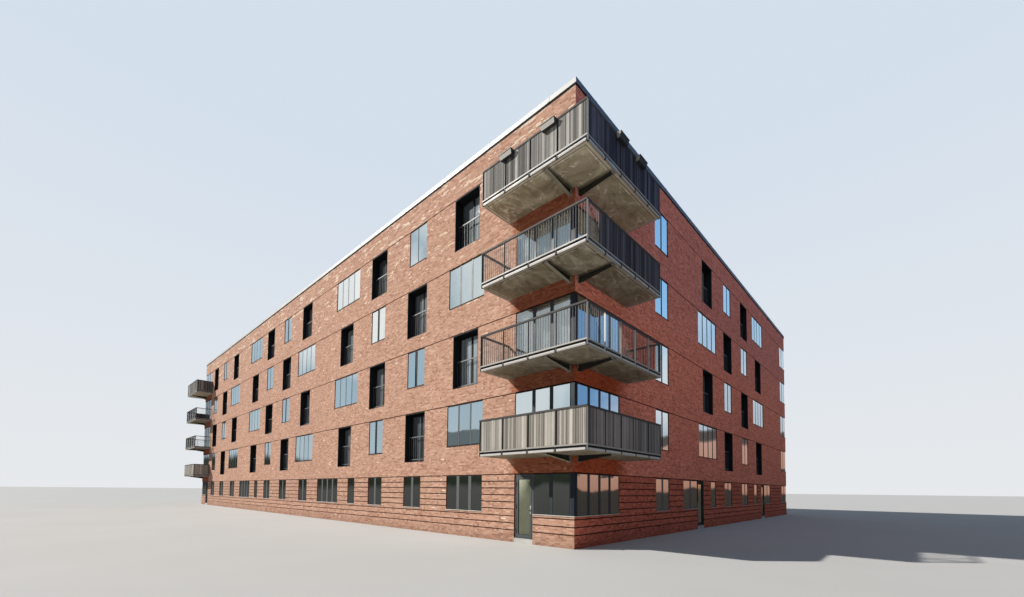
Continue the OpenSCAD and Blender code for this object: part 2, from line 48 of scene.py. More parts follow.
DOOR_FRAME_W, LEAF_W, PANE_T = 0.035, 0.045, 0.006
FRENCH_T = 0.2
POST_END, CORNER_FRONT, CORNER_SIDE, DOOR_W = 0.095, 1.325, 1.475, 0.445
BAL_FRONT, BAL_SIDE, OUT_FRONT, OUT_SIDE = 1.495, 1.725, 0.67, 0.655
SLAB_T, SLAB_DROP, BRACKET_IN = 0.038, 0.02, 0.11
RAIL_H, TOP_RAIL, LOW_RAIL, LOW_RAIL_H = 0.582, 0.025, 0.014, 0.023
RAIL_DEEP, POST_T, BAR, JOINT = 0.03, 0.008, 0.006, 0.001
COURSE = HEAD / 36
BRICK = 0.12
FACES, LONG = ("front", "right", "back", "left"), ("front", "back")
# Corners of a square, and the faces of a box by its corners in the order of their coordinates
SQUARE = ((-1, -1), (1, -1), (1, 1), (-1, 1))
BOX_FACES = ((0, 1, 3, 2), (4, 6, 7, 5), (0, 4, 5, 1), (2, 3, 7, 6), (0, 2, 6, 4), (1, 5, 7, 3))
# The photograph in pixels: its width, the focal length, and the rows of its centre and optical axis
IMAGE_W, FOCAL, CENTRE_ROW, AXIS_ROW = 1024, 427.8, 298.5, 471.34
SENSOR_MM = 36


# Camera at the photograph's viewpoint
def look(yaw, pitch, roll):
    yaw, pitch, roll = (math.radians(a) for a in (yaw, pitch, roll))
    right = Vector((math.cos(yaw), math.sin(yaw), 0))
    ahead = Vector((-math.sin(yaw) * math.cos(pitch), math.cos(yaw) * math.cos(pitch), math.sin(pitch)))
    up = right.cross(ahead)
    tilted = right * math.cos(roll) + up * math.sin(roll)
    return Matrix((tilted, up * math.cos(roll) - right * math.sin(roll), -ahead)).transposed()


def put_in(name, data):
    obj = bpy.data.objects.new(name, data)
    bpy.context.collection.objects.link(obj)
    return obj


camera = put_in("camera", bpy.data.cameras.new("camera"))
camera.matrix_world = Matrix.Translation((16.5535, -13.8945, 0.9475)) @ look(42.903, 2.5, 0.5565).to_4x4()
camera.data.sensor_width = SENSOR_MM
camera.data.lens = SENSOR_MM * FOCAL / IMAGE_W
camera.data.shift_y = (AXIS_ROW - CENTRE_ROW) / IMAGE_W
camera.data.clip_start, camera.data.clip_end = 0.1, 2000
bpy.context.scene.camera = camera
bpy.context.scene.view_settings.view_transform = "Standard"


def one_node(operation):
    """A method that adds one math node."""
    return lambda self, *values: self.math(operation, *values)


class Nodes:
    """A node tree in short form. pos is the point in the object's frame, or the direction in a world."""

    add, sub, over = one_node("ADD"), one_node("SUBTRACT"), one_node("DIVIDE")
    more, less = one_node("GREATER_THAN"), one_node("LESS_THAN")
    most, least = one_node("MAXIMUM"), one_node("MINIMUM")
    abs, fract, floor = one_node("ABSOLUTE"), one_node("FRACT"), one_node("FLOOR")

    def __init__(self, tree, coords):
        self.tree = tree
        self.pos = self.node("TexCoord").outputs[coords]

    def node(self, kind, *values, **props):
        """Adds a node, sets its properties and fills its inputs in their order."""
        made = self.tree.nodes.new("ShaderNode" + kind)
        for key, value in props.items():
            setattr(made, key, value)
        for value, socket in zip(values, made.inputs):
            self.put(value, socket)
        return made

    def put(self, value, socket):
        if isinstance(value, bpy.types.NodeSocket):
            self.tree.links.new(value, socket)
        elif value is not None:
            socket.default_value = value

    def fill(self, made, **values):
        """Fills inputs by name, with _ for a space."""
        for key, value in values.items():
            self.put(value, made.inputs[key.replace("_", " ")])
        return made.outputs[0]

    def math(self, operation, *values, clamp=False):
        return self.node("Math", *values, operation=operation, use_clamp=clamp).outputs[0]

    def both(self, *values):
        """The product, which for masks means that all of them hold."""
        out = values[0]
        for value in values[1:]:
            out = self.math("MULTIPLY", out, value)
        return out

    def inside(self, value, lo, hi):
        return self.both(self.more(value, lo), self.less(value, hi))

    def split(self, vector):
        return self.node("SeparateXYZ", vector).outputs

    def join(self, x, y, z):
        return self.node("CombineXYZ", x, y, z).outputs[0]

    def scaled(self, *factors):
        return self.node("VectorMath", self.pos, factors, operation="MULTIPLY").outputs[0]

    def noise(self, scale, detail=3.0, vector=None, rough=0.5, distortion=0.0):
        return self.fill(self.node("TexNoise"), Vector=self.pos if vector is None else vector, Scale=scale,
                         Detail=detail, Roughness=rough, Distortion=distortion)

    def white(self, vector):
        return self.node("TexWhiteNoise", vector, noise_dimensions="3D").outputs["Value"]

    def ramp(self, value, *stops):
        made = self.node("ValToRGB", value)
        while len(made.color_ramp.elements) < len(stops):
            made.color_ramp.elements.new(1.0)
        for element, (at, colour) in zip(made.color_ramp.elements, stops):
            element.position, element.color = at, (*colour, 1)
        return made.outputs[0]

    def remap(self, value, lo, hi, to_lo=0.0, to_hi=1.0):
        return self.node("MapRange", value, lo, hi, to_lo, to_hi).outputs[0]

    def mix(self, factor, a, b, blend="MIX"):
        made = self.node("Mix", factor, data_type="RGBA", blend_type=blend)
        for value, socket in ((a, made.inputs[6]), (b, made.inputs[7])):
            self.put((*value, 1) if isinstance(value, tuple) else value, socket)
        return made.outputs[2]

    def tint(self, factor, colour, by):
        """Multiplies a colour by another where factor is 1."""
        return self.mix(factor, colour, self.mix(1.0, colour, by, "MULTIPLY"))

    def shade(self, colour, share):
        """Multiplies a colour by a number."""
        return self.mix(1.0, colour, self.join(share, share, share), "MULTIPLY")


MATS = {}


class Shader(Nodes):
    """A procedural material, kept in MATS by its name; done() links what varies over the surface."""

    def __init__(self, name, rough=0.5, metal=0.0, gloss=0.5):
        self.mat = MATS[name] = bpy.data.materials.new(name)
        self.mat.use_nodes = True
        super().__init__(self.mat.node_tree, "Object")
        self.bsdf = self.tree.nodes["Principled BSDF"]
        self.fill(self.bsdf, Roughness=rough, Metallic=metal, Specular_IOR_Level=gloss)

    def faces(self):
        """How far the surface faces along X, Y and Z."""
        return self.split(self.node("NewGeometry").outputs["True Normal"])

    def island(self):
        return self.node("NewGeometry").outputs["Random Per Island"]

    def depth(self):
        """Depth of a point behind the outer wall faces."""
        x, y, _ = self.split(self.pos)
        return self.least(self.sub(HALF_LEN, self.abs(x)), self.sub(HALF_DEP, self.abs(y)))

    def bump(self, height, distance, strength):
        return self.fill(self.node("Bump"), Strength=strength, Distance=distance, Height=height)

    def done(self, colour, rough=None, normal=None, alpha=None):
        self.fill(self.bsdf, Base_Color=colour, Roughness=rough, Normal=normal, Alpha=alpha)
        return self.mat


def times(colour, gain):
    """A colour made lighter or darker."""
    return tuple(c * gain for c in colour)


# Materials
def brick():
    s = Shader("brick", rough=0.9, gloss=0.2)
    x, y, z = s.split(s.pos)
    nx, ny, nz = (s.abs(c) for c in s.faces())
    on_side = s.more(nx, ny)
    off_side = s.sub(1.0, on_side)
    on_front = s.both(off_side, s.less(y, 0.0))
    along = s.add(s.both(on_side, y), s.both(off_side, x))
    rows = s.over(s.sub(z, BASE), COURSE)
    row = s.floor(rows)
    run = s.add(s.over(along, BRICK), s.both(row, 0.5))
    # Wild bond: half of the stretchers are two headers instead
    column = s.floor(run)
    headers = s.more(s.white(s.join(column, row, 11.0)), 0.5)
    column = s.add(column, s.both(headers, s.more(s.fract(run), 0.5), 0.5))
    pick = s.white(s.join(column, row, s.both(on_side, 7.0)))
    pick_b = s.white(s.join(row, column, 31.0))
    body = s.ramp(pick, (0.0, (0.32, 0.15, 0.095)), (0.25, (0.44, 0.235, 0.158)),
                  (0.75, (0.52, 0.295, 0.207)), (1.0, (0.62, 0.385, 0.285)))
    # Fired streaks along the courses, and cream bricks under the parapet of the street front
    streak = s.noise(1.0, 3.0, s.join(s.both(along, 1.3), s.both(z, 9.0), on_side))
    colour = s.mix(s.remap(streak, 0.5, 0.72, 0.0, 0.14), body, (0.66, 0.44, 0.33))
    colour = s.mix(s.remap(streak, 0.5, 0.3, 0.0, 0.12), colour, (0.33, 0.145, 0.095))
    cream = s.noise(1.0, 2.0, s.join(s.both(along, 1.5), s.both(z, 8.0), 3.0))
    share = s.both(s.remap(z, 5.8, 7.35, 0.05, 1.0), on_front, s.remap(cream, 0.53, 0.66, 0.0, 0.7))
    colour = s.mix(s.less(pick_b, share), colour, (0.78, 0.62, 0.49))
    colour = s.mix(s.both(s.more(pick_b, 0.96), 0.55), colour, (0.19, 0.085, 0.06))
    colour = s.mix(s.remap(s.noise(0.35, 4.0), 0.35, 0.7, 0.0, 0.14), colour, (0.30, 0.14, 0.10))
    grain = s.noise(120.0, 4.0)
    colour = s.mix(0.3, colour, s.ramp(grain, (0.3, (0.25, 0.25, 0.25)), (0.7, (0.75, 0.75, 0.75))),
                   "SOFT_LIGHT")
    # Mortar joints
    joint = s.most(s.less(s.fract(rows), 0.17), s.less(s.fract(run), 0.05))
    joint = s.most(joint, s.both(headers, s.less(s.abs(s.sub(s.fract(run), 0.5)), 0.03)))
    joint = s.both(joint, s.less(nz, 0.5))
    mortar = s.ramp(grain, (0.2, (0.36, 0.25, 0.19)), (0.8, (0.50, 0.37, 0.29)))
    colour = s.mix(s.both(joint, 0.75), colour, mortar)
    # Painted shade: the walls that face away from the sun are tinted redder, darker at the ground storey and
    # lighter up to the middle storeys, and the bands under the balconies get a darker, more orange painted
    # shadow
    shaded = s.most(s.both(on_side, s.more(x, 0.0)), s.both(off_side, s.more(y, 0.0)))
    colour = s.tint(shaded, colour, (1.36, 0.82, 0.98))
    colour = s.tint(s.both(shaded, s.less(z, BASE + HEAD)), colour, (0.93, 0.68, 0.50))
    lifted_shade = s.both(shaded, s.more(z, BASE + HEAD), s.remap(z, 4.2, 6.0, 1.0, 0.0))
    colour = s.tint(lifted_shade, colour, (1.26, 1.13, 0.92))
    storey = s.fract(s.over(s.sub(z, BASE), STOREY))
    shadow_band = s.both(s.more(storey, HEAD / STOREY), s.more(z, STOREY / 2))
    street = s.both(on_front, s.remap(s.abs(x), HALF_LEN - 1.5, HALF_LEN - 1.3),
                    s.less(z, BASE + 4 * STOREY))
    colour = s.tint(s.both(shadow_band, street), colour, (0.62, 0.34, 0.24))
    fade = s.remap(y, BAL_SIDE - 0.4 - HALF_DEP, BAL_SIDE + 0.1 - HALF_DEP, 1.0, 0.0)
    side = s.both(shaded, fade, s.less(z, BASE + 2 * STOREY))
    colour = s.tint(s.both(shadow_band, side), colour, (0.56, 0.35, 0.20))
    # Plaster inside
    inner = s.both(s.less(s.abs(x), HALF_LEN - WALL + 0.003), s.less(s.abs(y), HALF_DEP - WALL + 0.003))
    colour = s.mix(inner, colour, s.ramp(grain, (0.0, (0.50, 0.49, 0.46)), (1.0, (0.60, 0.59, 0.56))))
    # Painted shade in the recessed courses and reveals, and darker towards the foot of the wall
    depth = s.depth()
    recess_shade = s.add(s.both(s.inside(depth, 0.006, WALL - 0.01), 0.55),
                 s.both(s.inside(depth, 0.006, 0.014), 0.33))
    colour = s.shade(colour, s.sub(1.0, recess_shade))
    colour = s.shade(colour, s.remap(z, 0.0, 0.25, 0.72, 1.0))
    height = s.add(s.sub(s.both(grain, 0.35), joint), s.both(pick, 0.4))
    return s.done(colour, s.remap(grain, 0.3, 0.7, 0.82, 0.95), s.bump(height, 0.003, 0.8))


def balcony_concrete():
    s = Shader("balcony_concrete", rough=0.85, gloss=0.25)
    x, y, z = s.split(s.pos)
    nz = s.faces()[2]
    side = s.sub(s.abs(x), HALF_LEN)
    front = s.sub(-HALF_DEP, y)
    edge = s.least(s.sub(OUT_FRONT, front), s.sub(OUT_SIDE, side))
    edge = s.least(edge, s.add(side, BAL_FRONT))
    edge = s.least(edge, s.add(front, BAL_SIDE))
    cloud = s.noise(1.5, 6.0, distortion=1.4, rough=0.62)
    wave = s.noise(3.6, 5.0, s.scaled(1.0, 0.4, 1.0), distortion=2.4)
    fine = s.noise(60.0, 4.0)
    colour = s.ramp(cloud, (0.30, (0.15, 0.118, 0.075)), (0.48, (0.225, 0.185, 0.122)),
                    (0.68, (0.33, 0.285, 0.20)))
    colour = s.mix(s.remap(wave, 0.57, 0.70, 0.0, 0.7), colour, (0.42, 0.38, 0.295))
    colour = s.mix(s.remap(wave, 0.45, 0.32, 0.0, 0.5), colour, (0.10, 0.082, 0.055))
    colour = s.mix(s.both(s.less(edge, 0.04), 0.7), colour, (0.36, 0.31, 0.235))
    bloom = s.both(s.inside(edge, 0.055, 0.08), s.remap(wave, 0.4, 0.6), 0.8)
    colour = s.mix(bloom, colour, (0.46, 0.42, 0.34))
    # A dark line just inside the outer edge is painted shade for a drip groove
    colour = s.mix(s.both(s.inside(edge, 0.04, 0.053), 0.8), colour, (0.05, 0.043, 0.034))
    lime = s.noise(2.2, 7.0, distortion=4.0, rough=0.65)
    colour = s.mix(s.remap(lime, 0.585, 0.65, 0.0, 0.6), colour, (0.50, 0.48, 0.41))
    colour = s.mix(s.remap(lime, 0.40, 0.34, 0.0, 0.45), colour, (0.09, 0.08, 0.06))
    pores = s.remap(s.noise(240.0, 2.0), 0.62, 0.7)
    colour = s.mix(s.both(pores, 0.4), colour, (0.07, 0.06, 0.045))
    # Painted light: the slab of the top balcony is lighter than those below
    colour = s.shade(colour, s.remap(z, 5.2, 5.9, 1.16, 1.85))
    # Painted shade on the soffit beside the brackets
    bracket_shade = s.least(s.add(s.abs(s.add(side, BRACKET_IN)), s.less(front, 0.0)),
                  s.add(s.abs(s.add(front, BRACKET_IN)), s.less(side, 0.0)))
    colour = s.shade(colour, s.remap(bracket_shade, 0.045, 0.10, 0.42, 1.0))
    # The slab's narrow sides are painted near black as shade, and its top is paler
    upright = s.less(s.abs(nz), 0.5)
    colour = s.mix(upright, colour, s.ramp(fine, (0.3, (0.035, 0.034, 0.033)), (0.7, (0.06, 0.058, 0.056))))
    top = s.ramp(cloud, (0.3, (0.33, 0.32, 0.29)), (0.7, (0.44, 0.43, 0.40)))
    colour = s.mix(s.more(nz, 0.5), colour, top)
    height = s.sub(s.both(fine, 0.3), s.both(pores, 0.5))
    return s.done(colour, s.remap(fine, 0.3, 0.7, 0.75, 0.92), s.bump(height, 0.002, 0.5))


def mottled(name, dark, light, rough, scale=3.0, grain=80.0, streaks=0.0):
    s = Shader(name, rough=rough)
    fine = s.noise(grain, 3.0)
    mixed = s.add(s.both(s.noise(scale, 5.0, rough=0.6), 0.65), s.both(fine, 0.35))
    colour = s.ramp(mixed, (0.35, dark), (0.65, light))
    if streaks:
        run = s.noise(1.0, 3.0, s.scaled(22.0, 22.0, 0.8))
        colour = s.mix(s.remap(run, 0.55, 0.75, 0.0, streaks), colour, times(dark, 0.45))
    return s.done(colour, s.remap(fine, 0.3, 0.7, rough - 0.08, rough + 0.08), s.bump(fine, 0.001, 0.4))


def roofing_felt():
    s = Shader("roofing_felt", rough=0.92)
    x, y, _ = s.split(s.pos)
    lap = s.over(s.add(x, 20.0), 0.5)
    seam = s.less(s.fract(lap), 0.05)
    shifted = s.add(y, s.both(s.floor(lap), 1.9))
    cross = s.less(s.fract(s.over(shifted, 5.0)), 0.012)
    fine = s.noise(260.0, 3.0)
    colour = s.ramp(fine, (0.3, (0.045, 0.047, 0.050)), (0.7, (0.125, 0.127, 0.130)))
    cloud = s.noise(0.9, 6.0, rough=0.65)
    colour = s.mix(s.remap(cloud, 0.4, 0.7, 0.0, 0.45), colour, (0.17, 0.165, 0.155))
    colour = s.mix(s.most(seam, cross), colour, (0.035, 0.036, 0.038))
    return s.done(colour, None, s.bump(s.add(seam, s.both(fine, 0.4)), 0.003, 0.7))


def painted(name, colour, rough, wear, x_face_shade=None, under=None, at_corner=None, gloss=0.5):
    """Painted metal. Two of its colours are painted shade, for faces that look along +X and for downward
    faces; at_corner gives its colour in the glazed corners behind the balconies."""
    s = Shader(name, rough, gloss=gloss)
    cloud = s.noise(2.5, 5.0, rough=0.65)
    run = s.noise(1.0, 3.0, s.scaled(30.0, 30.0, 1.2))
    worn = tuple(min(1.0, c * 1.5 + 0.01) for c in colour)
    out = s.mix(s.remap(cloud, 0.35, 0.7, 0.0, wear), colour, worn)
    x, y, _ = s.split(s.pos)
    nx, _, nz = s.faces()
    corner = s.both(s.more(s.abs(x), HALF_LEN - CORNER_FRONT), s.less(y, CORNER_SIDE - HALF_DEP))
    for where, paint, gain in ((corner, at_corner, 1.4), (s.more(nx, 0.6), x_face_shade, 1.5),
                               (s.less(nz, -0.5), under, 1.3)):
        if paint:
            out = s.mix(where, out, s.ramp(cloud, (0.3, paint), (0.75, times(paint, gain))))
    out = s.mix(s.remap(run, 0.6, 0.75, 0.0, wear), out, times(colour, 0.5))
    return s.done(out, s.remap(cloud, 0.3, 0.7, rough - 0.06, rough + 0.1),
                  s.bump(s.noise(300.0, 2.0), 0.0004, 0.3))


def galvanised(name, dark, light, rough=0.45, metal=0.4, gloss=0.5):
    s = Shader(name, rough, metal, gloss)
    cell = s.node("TexVoronoi")
    s.fill(cell, Vector=s.pos, Scale=90.0)
    spangle = s.split(cell.outputs["Color"])[0]
    mixed = s.add(s.both(spangle, 0.4), s.both(s.noise(3.0, 5.0), 0.6))
    return s.done(s.ramp(mixed, (0.25, dark), (0.75, light)),
                  s.remap(mixed, 0.2, 0.8, rough - 0.08, rough + 0.12), s.bump(spangle, 0.0003, 0.2))


def mirror_glass():
    """Coated outer panes that mirror the sky, clearer in the street corners of storeys 3 and 4."""
    s = Shader("mirror_glass", rough=0.03, metal=1.0)
    x, y, z = s.split(s.pos)
    colour = s.mix(s.island(), (0.78, 0.84, 0.86), (0.90, 0.94, 0.95))
    clear = s.both(s.more(s.abs(x), HALF_LEN - CORNER_FRONT - 0.005), s.less(y, 0.05 - HALF_DEP),
                   s.inside(z, BASE + 2 * STOREY, BASE + 4 * STOREY))
    fresnel = s.node("LayerWeight", 0.4).outputs["Fresnel"]
    mirror = s.math("MULTIPLY_ADD", fresnel, 0.3, s.sub(0.86, s.both(clear, 0.50)), clamp=True)
    mirror = s.both(mirror, s.less(s.depth(), FRAME_T - PANE_T / 2))
    return s.done(colour, s.remap(s.noise(6.0, 5.0), 0.4, 0.75, 0.015, 0.05),
                  s.bump(s.noise(1.3, 2.0), 0.004, 0.5), mirror)


def french_glass():
    """Panes of the French doors, which lie deep in their openings and show pale curtains or none."""
    s = Shader("french_glass", rough=0.05, metal=0.45)
    # Dark stripes are painted shade in the folds of the curtains
    pleat = s.noise(1.0, 3.0, s.scaled(30.0, 30.0, 0.6))
    # Panes with no curtain are painted dark, as shade for the unlit room behind
    colour = s.mix(s.island(), (0.07, 0.09, 0.10), (0.42, 0.46, 0.48))
    return s.done(s.mix(s.remap(pleat, 0.4, 0.7, 0.0, 0.5), colour, (0.06, 0.07, 0.08)),
                  s.remap(s.noise(6.0, 5.0), 0.4, 0.75, 0.005, 0.02))


def hazy_glass(name, rough, metal, scale, detail, dark, light, roughs, alphas):
    """Glass whose tint, roughness and clearness vary a little with a haze."""
    s = Shader(name, rough=rough, metal=metal)
    haze = s.noise(scale, detail)
    return s.done(s.ramp(haze, (0.3, dark), (0.7, light)), s.remap(haze, 0.4, 0.75, *roughs), None,
                  s.remap(haze, 0.3, 0.7, *alphas))


def bracket_paint():
    """Dark brackets; the flanges under the street side catch the light off the ground."""
    s = Shader("bracket_steel", rough=0.7, gloss=0.2)
    cloud = s.noise(4.0, 5.0)
    lit = s.both(s.less(s.faces()[2], -0.5), s.less(s.abs(s.split(s.pos)[0]), HALF_LEN - 0.04))
    colour = s.mix(lit, s.ramp(cloud, (0.3, (0.022, 0.02, 0.015)), (0.7, (0.040, 0.036, 0.028))),
                   s.ramp(cloud, (0.3, (0.26, 0.24, 0.17)), (0.7, (0.36, 0.33, 0.25))))
    return s.done(colour, s.remap(cloud, 0.3, 0.7, 0.6, 0.8), s.bump(s.noise(200.0, 2.0), 0.0005, 0.4))


def slat_paint(name, dark, light):
    s = Shader(name, rough=0.75)
    weave = s.noise(700.0, 2.0)
    tone = s.add(s.both(s.island(), 0.7), s.both(weave, 0.3))
    return s.done(s.ramp(tone, (0.1, dark), (0.9, light)), s.remap(weave, 0.3, 0.7, 0.65, 0.85),
                  s.bump(weave, 0.0005, 0.4))


def board_paint():
    """Grey boards of mixed tones, darker on the upper storeys and on the shaded side arms."""
    s = Shader("screen_boards", rough=0.7, gloss=0.15)
    grain = s.noise(1.0, 5.0, s.scaled(180.0, 180.0, 7.0), rough=0.6)
    tone = s.add(s.both(s.island(), 0.75), s.both(grain, 0.25))
    colour = s.ramp(tone, (0.12, (0.13, 0.118, 0.104)), (0.45, (0.31, 0.285, 0.25)),
                    (0.85, (0.50, 0.47, 0.42)))
    colour = s.mix(s.remap(s.noise(4.0, 4.0), 0.45, 0.7, 0.0, 0.3), colour, (0.22, 0.205, 0.185))
    x, _, z = s.split(s.pos)
    high = s.more(z, 4.0)
    group = s.remap(s.noise(1.0, 1.0, s.scaled(7.0, 7.0, 0.02)), 0.42, 0.58, 0.36, 0.95)
    colour = s.mix(high, colour, s.mix(1.0, s.shade(colour, group), (0.88, 0.90, 0.95), "MULTIPLY"))
    side_arm = s.more(s.both(s.faces()[0], x), 6.0)
    colour = s.tint(side_arm, colour, s.mix(high, (0.60, 0.58, 0.64), (0.40, 0.40, 0.54)))
    colour = s.tint(s.both(side_arm, s.more(z, 5.8)), colour, (0.66, 0.70, 0.88))
    return s.done(colour, s.remap(grain, 0.3, 0.7, 0.6, 0.8), s.bump(grain, 0.0012, 0.5))


brick()
mottled("concrete", (0.36, 0.35, 0.33), (0.52, 0.51, 0.48), 0.82)
balcony_concrete()
roofing_felt()
# The coping's +X face is painted dark navy as shade
painted("coping_metal", (0.47, 0.465, 0.455), 0.45, wear=0.14, x_face_shade=(0.05, 0.065, 0.105))
painted("frame_metal", (0.012, 0.013, 0.015), 0.6, wear=0.3, at_corner=(0.06, 0.066, 0.07), gloss=0.25)
# The inner panes only tint what is seen through them, and the panes of the terrace doors are greenish
hazy_glass("glass", 0.05, 0.6, 5.0, 4.0, (0.30, 0.36, 0.38), (0.40, 0.46, 0.48), (0.03, 0.09), (0.10, 0.15))
hazy_glass("door_glass", 0.04, 0.9, 4.0, 5.0, (0.78, 0.82, 0.55), (0.90, 0.93, 0.72), (0.03, 0.12),
           (0.90, 0.97))
mirror_glass()
french_glass()
painted("lining_metal", (0.011, 0.012, 0.0145), 0.6, wear=0.3, gloss=0.2)
galvanised("rail_steel", (0.07, 0.07, 0.07), (0.14, 0.138, 0.136), 0.55, 0.05, gloss=0.25)
mottled("sill_stone", (0.45, 0.43, 0.38), (0.66, 0.64, 0.59), 0.75, 5.0, 140.0, streaks=0.3)
painted("sill_metal", (0.012, 0.013, 0.016), 0.5, wear=0.3, gloss=0.3)
board_paint()
# The planters' +X ends and undersides are painted near black as shade
painted("planter_plastic", (0.33, 0.32, 0.29), 0.65, wear=0.3, x_face_shade=(0.022, 0.024, 0.028),
        under=(0.03, 0.03, 0.03))
galvanised("galvanised", (0.34, 0.35, 0.36), (0.55, 0.56, 0.58))
painted("fascia", (0.43, 0.415, 0.395), 0.5, wear=0.2)
painted("bottom_rail", (0.27, 0.25, 0.225), 0.5, wear=0.3)
painted("top_rail", (0.055, 0.05, 0.048), 0.6, wear=0.3, gloss=0.15)
painted("light_metal", (0.55, 0.54, 0.52), 0.45, wear=0.3)
painted("dark_rail", (0.022, 0.022, 0.026), 0.6, wear=0.35, gloss=0.15)
painted("french_rail", (0.105, 0.107, 0.11), 0.5, wear=0.35)
bracket_paint()
painted("mullion_cap", (0.10, 0.103, 0.105), 0.45, wear=0.25, at_corner=(0.026, 0.032, 0.038), gloss=0.25)
painted("post_cover", (0.014, 0.02, 0.03), 0.5, wear=0.2, gloss=0.2)
painted("post_cover_pale", (0.34, 0.36, 0.37), 0.45, wear=0.2)
painted("rubber", (0.004, 0.004, 0.0045), 0.8, wear=0.1, gloss=0.15)
slat_paint("slats_white", (0.72, 0.77, 0.80), (0.86, 0.90, 0.92))
slat_paint("slats_grey", (0.22, 0.23, 0.24), (0.34, 0.35, 0.36))
slat_paint("blind", (0.68, 0.67, 0.63), (0.80, 0.79, 0.75))

# CAD nodes take the material that their slot names, or the one given here
NODE_MATS = {"french_rails": "french_rail", "balcony_brackets_right": "bracket_steel",
             "balcony_brackets_left": "bracket_steel", "corner_door_glass": "door_glass",
             "side_door_a_glass": "door_glass", "side_door_b_glass": "door_glass"}

for name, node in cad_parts.items():
    for slot in node.material_slots:
        key = NODE_MATS.get(name, slot.material.name.split(".")[0] if slot.material else "")
        if key in MATS:
            slot.material = MATS[key]


def soften(obj, width):
    mod = obj.modifiers.new("bevel", "BEVEL")
    mod.width, mod.segments, mod.limit_method, mod.angle_limit = width, 2, "ANGLE", math.radians(40)


def circle(radius, sides):
    """Corners of a regular outline round the origin."""
    turns = (2 * math.pi * k / sides for k in range(sides))
    return [(radius * math.cos(a), radius * math.sin(a)) for a in turns]


class Pieces:
    """Collects closed boxes, rings and tubes, and makes one object of them.

    On a face of the block a point is (s, t, z): s from the near corner, t in from the brick face.
    """

    def __init__(self, face=None):
        self.face, self.verts, self.faces = face, [], []

    def at(self, s, t, z):
        return {"front": (HALF_LEN - s, t - HALF_DEP, z), "right": (HALF_LEN - t, s - HALF_DEP, z),
                "back": (HALF_LEN - s, HALF_DEP - t, z), "left": (t - HALF_LEN, s - HALF_DEP, z)
                }.get(self.face, (s, t, z))

    def add(self, verts, faces):
        base = len(self.verts)
        self.verts += [self.at(*v) for v in verts]
        self.faces += [tuple(base + i for i in f) for f in faces]

    def box(self, s0, s1, t0, t1, z0, z1):
        verts = [(s, t, z) for s in (s0, s1) for t in (t0, t1) for z in (z0, z1)]
        self.add(verts, BOX_FACES)

    def loops(self, rings, closed=True):
        """Joins rings of as many points each into a tube; closed also joins the last to the first."""
        n = len(rings[0])
        last = len(rings) if closed else len(rings) - 1
        faces = [(i * n + j, i * n + (j + 1) % n, (i + 1) % len(rings) * n + (j + 1) % n,
                  (i + 1) % len(rings) * n + j) for i in range(last) for j in range(n)]
        if not closed:
            faces += [tuple(range(n)), tuple(range((len(rings) - 1) * n, len(rings) * n))]
        self.add([p for ring in rings for p in ring], faces)

    def ring(self, s0, s1, z0, z1, wide, t0, t1, chamfer=0.0):
        """Rectangular frame in a wall plane, wide inwards, from depth t0 to t1."""
        def rect(inset, t):
            a, b, low, high = s0 + inset, s1 - inset, z0 + inset, z1 - inset
            return [(a, t, low), (b, t, low), (b, t, high), (a, t, high)]
        self.loops([rect(0, t1), rect(0, t0), rect(wide - chamfer, t0), rect(wide, t0 + chamfer),
                    rect(wide, t1)])

    def disc(self, s, z, t0, t1, radius, sides=12):
        """Short cylinder standing out of a wall plane."""
        self.loops([[(s + a, t, z + b) for a, b in circle(radius, sides)] for t in (t0, t1)], closed=False)

    def slat(self, s, t, half, thick, turn, z0, z1):
        """Upright slat centred at (s, t) and turned about its own axis."""
        along, across = Vector((math.cos(turn), math.sin(turn))), Vector((-math.sin(turn), math.cos(turn)))
        corners = [Vector((s, t)) + along * a * half + across * b * thick / 2 for a, b in SQUARE]
        self.loops([[(c.x, c.y, z) for c in corners] for z in (z0, z1)], closed=False)

    def make(self, name, material, bevel=0.0, body="root", slot=None):
        mesh = bpy.data.meshes.new(name)
        mesh.from_pydata(self.verts, [], self.faces)
        mesh.validate()
        tool = bmesh.new()
        tool.from_mesh(mesh)
        bmesh.ops.recalc_face_normals(tool, faces=tool.faces)
        tool.to_mesh(mesh)
        tool.free()
        mesh.materials.append(MATS[material])
        obj = put_in(name, mesh)
        if bevel:
            soften(obj, bevel)
        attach(obj, body)
        return obj


def islands(name):
    """Boxes round the loose solids of a CAD node."""
    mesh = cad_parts[name].data
    keys = [tuple(round(c, 4) for c in v.co) for v in mesh.vertices]
    parent = {k: k for k in keys}

    def root(k):
        while parent[k] != k:
            parent[k] = parent[parent[k]]
            k = parent[k]
        return k
    for poly in mesh.polygons:
        first = root(keys[poly.vertices[0]])
        for i in poly.vertices[1:]:
            parent[root(keys[i])] = first
    groups = {}
    for k in parent:
        groups.setdefault(root(k), []).append(k)
    return sorted((tuple(map(min, zip(*g))), tuple(map(max, zip(*g)))) for g in groups.values())


def local(face, lo, hi):
    """A box in a face's own frame: s0, s1, the depth of its outer side, z0, z1."""
    (x0, y0, z0), (x1, y1, z1) = lo, hi
    s0, s1 = (HALF_LEN - x1, HALF_LEN - x0) if face in LONG else (y0 + HALF_DEP, y1 + HALF_DEP)
    depths = HALF_DEP + y0, HALF_LEN - x1, HALF_DEP - y1, HALF_LEN + x0
    return s0, s1, depths[FACES.index(face)], z0, z1


# Panes of a window by the width of its glass
PANES = {0.4: 1, 0.69: 2, 1.115: 3, 1.425: 4, 0.925: 2, 0.766: 2, 0.785: 2, 1.38: 4, 0.83: 2, 1.23: 3}
CORNER_FRONT_GLASS = 1.23


